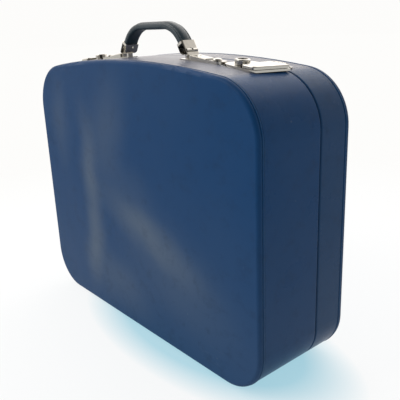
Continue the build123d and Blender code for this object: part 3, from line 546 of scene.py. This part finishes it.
steel_bump = put(steel_tree, "Bump", {"Height": rolling_lines, "Strength": 0.3, "Distance": 0.00005})
steel_tree.links.new(steel_bump.outputs["Normal"], steel_shader.inputs["Normal"])
STEEL_NODES = ("handle_core", "handle_backing", "lock_box", "lock_slide", "lock_spring", "hinge_pin")
dress(steel, "plain_steel", *[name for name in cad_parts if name.startswith(STEEL_NODES)])

# Moulded parts: the dark rim that the lid closes over, and the glides that the case stands on.
# Both have a fine spark-eroded texture, and the glides are scratched grey at their edges.
RIM_DARK = (0.012, 0.016, 0.026, 1)
GLIDE_BLACK = (0.010, 0.010, 0.012, 1)
GLIDE_SCRAPED = (0.075, 0.075, 0.08, 1)


def make_moulding(name, colour, scraped, wear):
    """Dark moulded plastic with a fine texture, worn paler at its edges by this share."""
    material, tree, shader, place = new_material(name, Specular_IOR_Level=0.45)
    marks = place_group(tree, handling_marks, Scale=110.0, Scuff_Amount=wear)
    edges = place_group(tree, rubbed_edges, Reach=0.0012)
    worn = sums(tree, "MAXIMUM", marks["Scuffs"], sums(tree, "MULTIPLY", edges["Mask"], wear))
    tree.links.new(mix_colour(tree, worn, colour, scraped), shader.inputs["Base Color"])
    texture = put(tree, "TexNoise", {"Vector": place, "Scale": 1500.0, "Detail": 3.0}).outputs["Fac"]
    tree.links.new(spread(tree, texture, 0.3, 0.7, 0.42, 0.62), shader.inputs["Roughness"])
    bump = put(tree, "Bump", {"Height": texture, "Strength": 0.35, "Distance": 0.00008})
    tree.links.new(bump.outputs["Normal"], shader.inputs["Normal"])
    return material


dress(make_moulding("rim_moulding", RIM_DARK, VINYL_GRIME, 0.4), "rim_plastic", "rim_tongue")
dress(
    make_moulding("glide_moulding", GLIDE_BLACK, GLIDE_SCRAPED, 0.8), "foot_plastic", "front_feet", "lid_feet"
)

# Linings: plain-woven grey-blue cloth glued inside both halves. It is slightly creased and a
# little soiled, with single slubby threads.
CLOTH_BLUE = (0.275, 0.325, 0.405, 1)
CLOTH_PALE = (0.42, 0.47, 0.54, 1)
CLOTH_DEEP = (0.12, 0.15, 0.20, 1)
LINING_THREADS = 2400.0


def make_weave():
    """Plain weave: two sets of threads passing over and under each other, on given coordinates."""
    group, takes, gives, _ = start_group(
        "plain_weave", {"Across": 0.0, "Along": 0.0, "Threads": 2400.0}, ["Height", "Over"]
    )
    turns = []
    for line in ("Across", "Along"):
        turns.append(sums(group, "MULTIPLY", takes[line], takes["Threads"]))
    warp = sums(group, "ABSOLUTE", sums(group, "SINE", turns[0], 0.0), 0.0)
    weft = sums(group, "ABSOLUTE", sums(group, "SINE", turns[1], 0.0), 0.0)
    halves = [sums(group, "MULTIPLY", turn, 1 / math.pi) for turn in turns]
    cell = sums(group, "ADD", *[sums(group, "FLOOR", half, 0.0) for half in halves])
    over = sums(group, "PINGPONG", cell, 1.0)
    height = put(group, "Mix", {0: over, 2: warp, 3: weft}, data_type="FLOAT").outputs[0]
    group.links.new(height, gives.inputs["Height"])
    group.links.new(over, gives.inputs["Over"])
    return group


plain_weave = make_weave()


def make_cloth(name, across, along, threads, colours, sheen, **settings):
    """Woven cloth; across and along are functions that lead thread coordinates from the tree."""
    material, tree, shader, place = new_material(name, Specular_IOR_Level=0.2, Sheen_Weight=sheen, **settings)
    weave = tree.nodes.new("ShaderNodeGroup")
    weave.node_tree = plain_weave
    weave.inputs["Threads"].default_value = threads
    tree.links.new(across(tree, place), weave.inputs["Across"])
    tree.links.new(along(tree, place), weave.inputs["Along"])
    marks = place_group(tree, handling_marks, Scale=30.0, Scuff_Amount=0.2)
    plain, pale, deep = colours
    slubs = put(tree, "TexNoise", {"Vector": place, "Scale": 240.0, "Detail": 3.0}).outputs["Fac"]
    paint = mix_colour(tree, sums(tree, "MULTIPLY", weave.outputs["Over"], 0.3), plain, pale)
    paint = mix_colour(tree, spread(tree, slubs, 0.45, 0.8, 0.0, 0.5), paint, deep)
    paint = mix_colour(tree, sums(tree, "MULTIPLY", marks["Blotches"], 0.25), paint, deep)
    tree.links.new(paint, shader.inputs["Base Color"])
    tree.links.new(spread(tree, marks["Grime"], 0.0, 1.0, 0.78, 0.92), shader.inputs["Roughness"])
    creases = put(tree, "TexNoise", {"Vector": place, "Scale": 16.0, "Detail": 4.0}).outputs["Fac"]
    rumple = put(tree, "Bump", {"Height": creases, "Strength": 0.6, "Distance": 0.0012})
    threads_up = put(tree, "Bump", {
        "Height": weave.outputs["Height"],
        "Strength": 0.5,
        "Distance": 0.0002,
        "Normal": rumple.outputs["Normal"],
    })
    tree.links.new(threads_up.outputs["Normal"], shader.inputs["Normal"])
    return material


def place_sum(x_share, y_share, z_share):
    """A thread coordinate that runs across the piece in these shares of its three directions."""
    def lead(tree, place):
        shares = put(tree, "VectorMath", {0: place, 1: (x_share, y_share, z_share)}, operation="DOT_PRODUCT")
        return shares.outputs["Value"]
    return lead


lining_cloth = make_cloth(
    "lining_cloth", place_sum(1, 1, 0), place_sum(0, 0.7, 1), LINING_THREADS,
    (CLOTH_BLUE, CLOTH_PALE, CLOTH_DEEP), 0.2,
)
dress(lining_cloth, "lining_fabric", "front_lining", "lid_lining")

# Lid pocket: one width of satin cloth sewn to the lining on three sides and gathered along its
# top by an elastic, so that it falls in uneven pleats that grow shallower towards the bottom.
SATIN_BLUE = (0.300, 0.345, 0.425, 1)
SATIN_PALE = (0.46, 0.51, 0.58, 1)
SATIN_DEEP = (0.15, 0.18, 0.24, 1)
POCKET_CORNER = 30.0 * MM
POCKET_PLEATS = 42
PLEAT_DEEP = 2.0 * MM
POCKET_BELLY = 1.3 * MM
CLOTH_THICK = 0.35 * MM
pocket_low, pocket_high = (Vector(corner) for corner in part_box("lid_pocket"))
band_low, band_high = (Vector(corner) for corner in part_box("pocket_elastic"))
pocket_half = pocket_high.x


def pleat_wave(across, height):
    """Uneven pleats across the pocket, from -1 to 1, drifting sideways as they fall."""
    drift = 0.9 * math.sin(5.1 * across + 1.3) + 0.5 * math.sin(11.7 * across + 2.4 * height)
    return math.sin(math.pi * POCKET_PLEATS * across + drift + 0.8 * math.sin(3.0 * height + 7.0 * across))


pocket_shape = bmesh.new()
bmesh.ops.create_grid(pocket_shape, x_segments=420, y_segments=44, size=1, calc_uvs=False)
for corner in pocket_shape.verts:
    across, up = corner.co.x, (corner.co.y + 1) / 2
    height = pocket_low.z + up * (pocket_high.z + 1.5 * MM - pocket_low.z)
    above = height - pocket_low.z
    cut = 0.0
    if above < POCKET_CORNER:
        cut = POCKET_CORNER - math.sqrt(POCKET_CORNER**2 - (POCKET_CORNER - above) ** 2)
    half = pocket_half - cut - max(0.0, up - 0.80) * 80 * MM
    sewn = min(1.0, up * 14) * min(1.0, (1 - abs(across)) * 22)
    fullness = sewn * (0.35 + 0.65 * up)
    belly = POCKET_BELLY * sewn * math.sin(math.pi * min(1.0, 0.08 + up * 0.92)) ** 0.5
    lift = 0.5 * MM + belly + fullness * PLEAT_DEEP * (0.75 + 0.75 * pleat_wave(across, up))
    corner.co = (across * half, pocket_high.y - lift, height)
bmesh.ops.recalc_face_normals(pocket_shape, faces=pocket_shape.faces[:])
satin = make_cloth(
    "pocket_satin", place_sum(1, 0, 0), place_sum(0, 0, 1), 5200.0, (SATIN_BLUE, SATIN_PALE, SATIN_DEEP), 0.5,
)
pocket_cloth = new_piece("pocket_cloth", pocket_shape, satin)
pocket_wall = pocket_cloth.modifiers.new("cloth_thickness", "SOLIDIFY")
pocket_wall.thickness = CLOTH_THICK
pocket_wall.offset = 0
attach(pocket_cloth, "lid")
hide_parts("lid_pocket")

# Elastic along the pocket's mouth: a flat ribbed band that the cloth is gathered onto, so its
# face ripples with the same pleats.
ELASTIC_BLUE = (0.235, 0.275, 0.345, 1)
ELASTIC_ROWS = 5
band_shape = bmesh.new()
bmesh.ops.create_grid(band_shape, x_segments=420, y_segments=20, size=1, calc_uvs=False)
band_middle = (band_low.z + band_high.z) / 2
for corner in band_shape.verts:
    across, up = corner.co.x, corner.co.y
    ruffle = (0.5 + 0.5 * pleat_wave(across, 1.0)) * (0.55 + 0.45 * abs(up))
    ridge = 0.28 * MM * abs(math.sin(math.pi * ELASTIC_ROWS * (up + 1) / 2))
    depth = band_high.y - 0.6 * MM - 1.7 * MM * ruffle - ridge
    corner.co = (across * band_high.x, depth, band_middle + up * (band_high.z - band_low.z) / 2)
bmesh.ops.recalc_face_normals(band_shape, faces=band_shape.faces[:])
elastic_cloth = make_cloth(
    "elastic_cloth", place_sum(1, 0, 0), place_sum(0, 0, 1), 3600.0,
    (ELASTIC_BLUE, SATIN_PALE, CLOTH_DEEP), 0.3,
)
mouth_elastic = new_piece("mouth_elastic", band_shape, elastic_cloth)
band_wall = mouth_elastic.modifiers.new("band_thickness", "SOLIDIFY")
band_wall.thickness = 0.9 * MM
band_wall.offset = 0
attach(mouth_elastic, "lid")
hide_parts("pocket_elastic")

# Packing straps: dark ribbon webbing with a rivet head at each outer end. The upper length laps
# over the lower one, the buckle lies on top of both, and the lapped end is box-stitched.
WEB_BLUE = (0.055, 0.078, 0.135, 1)
WEB_PALE = (0.12, 0.15, 0.21, 1)
WEB_DEEP = (0.022, 0.030, 0.055, 1)
STRAP_WIDTH = 22.0 * MM
FOLD_LENGTH = 17.0 * MM
STITCH_INSET = 3.0 * MM
WEB_STITCH = 2.6 * MM
webbing = make_cloth(
    "strap_webbing", place_sum(1, 0, 1), place_sum(-1, 0, 1), 2000.0, (WEB_BLUE, WEB_PALE, WEB_DEEP), 0.15,
)


def lay_webbing(shape, middle, low, high, front, back_face):
    """One flat length of webbing with rounded selvedges."""
    stand = Matrix.Translation((middle, (front + back_face) / 2, (low + high) / 2))
    sized = Matrix.Diagonal((STRAP_WIDTH, back_face - front, high - low, 1))
    made = bmesh.ops.create_cube(shape, size=1, matrix=stand @ sized)["verts"]
    bmesh.ops.bevel(
        shape, geom=list({edge for corner in made for edge in corner.link_edges}),
        offset=0.3 * (back_face - front), offset_type="OFFSET", segments=3, profile=0.5, affect="EDGES",
        clamp_overlap=True, material=-1,
    )


def sew_box(shape, middle, low, high, face_y):
    """Stitches in a square round a folded end, and across it from corner to corner."""
    half = STRAP_WIDTH / 2 - STITCH_INSET
    outline = ((-half, low), (half, low), (half, high), (-half, high))
    corners = [Vector((middle + x, face_y, z)) for x, z in outline]
    crossed = [(corners[0], corners[2]), (corners[1], corners[3])]
    runs = list(zip(corners, corners[1:] + corners[:1])) + crossed
    for start, end in runs:
        run = end - start
        count = max(3, round(run.length / WEB_STITCH))
        turn = math.atan2(run.x, run.z)
        for step in range(count):
            spot = start + run * ((step + 0.5) / count)
            stand = Matrix.Translation(spot) @ Matrix.Rotation(turn, 4, "Y")
            sized = Matrix.Diagonal((THREAD_RADIUS, THREAD_RADIUS * 0.8, 0.32 * run.length / count, 1))
            bmesh.ops.create_uvsphere(shape, u_segments=8, v_segments=6, radius=1, matrix=stand @ sized)


strap_stitch_shape = bmesh.new()
for node_name in ("lower_straps", "upper_straps"):
    low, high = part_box(node_name)
    strap_cloth_shape = bmesh.new()
    for side in (-1, 1):
        middle = side * (high.x - STRAP_WIDTH / 2)
        lay_webbing(strap_cloth_shape, middle, low.z, high.z, low.y, high.y)
        if node_name == "upper_straps":
            sew_box(strap_stitch_shape, middle, low.z + STITCH_INSET, low.z + FOLD_LENGTH, high.y)
    bmesh.ops.recalc_face_normals(strap_cloth_shape, faces=strap_cloth_shape.faces[:])
    strap_cloth = new_piece(node_name + "_webbing", strap_cloth_shape, webbing)
    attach(strap_cloth, "case")
    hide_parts(node_name)
strap_stitches = new_piece("strap_stitches", strap_stitch_shape, thread)
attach(strap_stitches, "case")
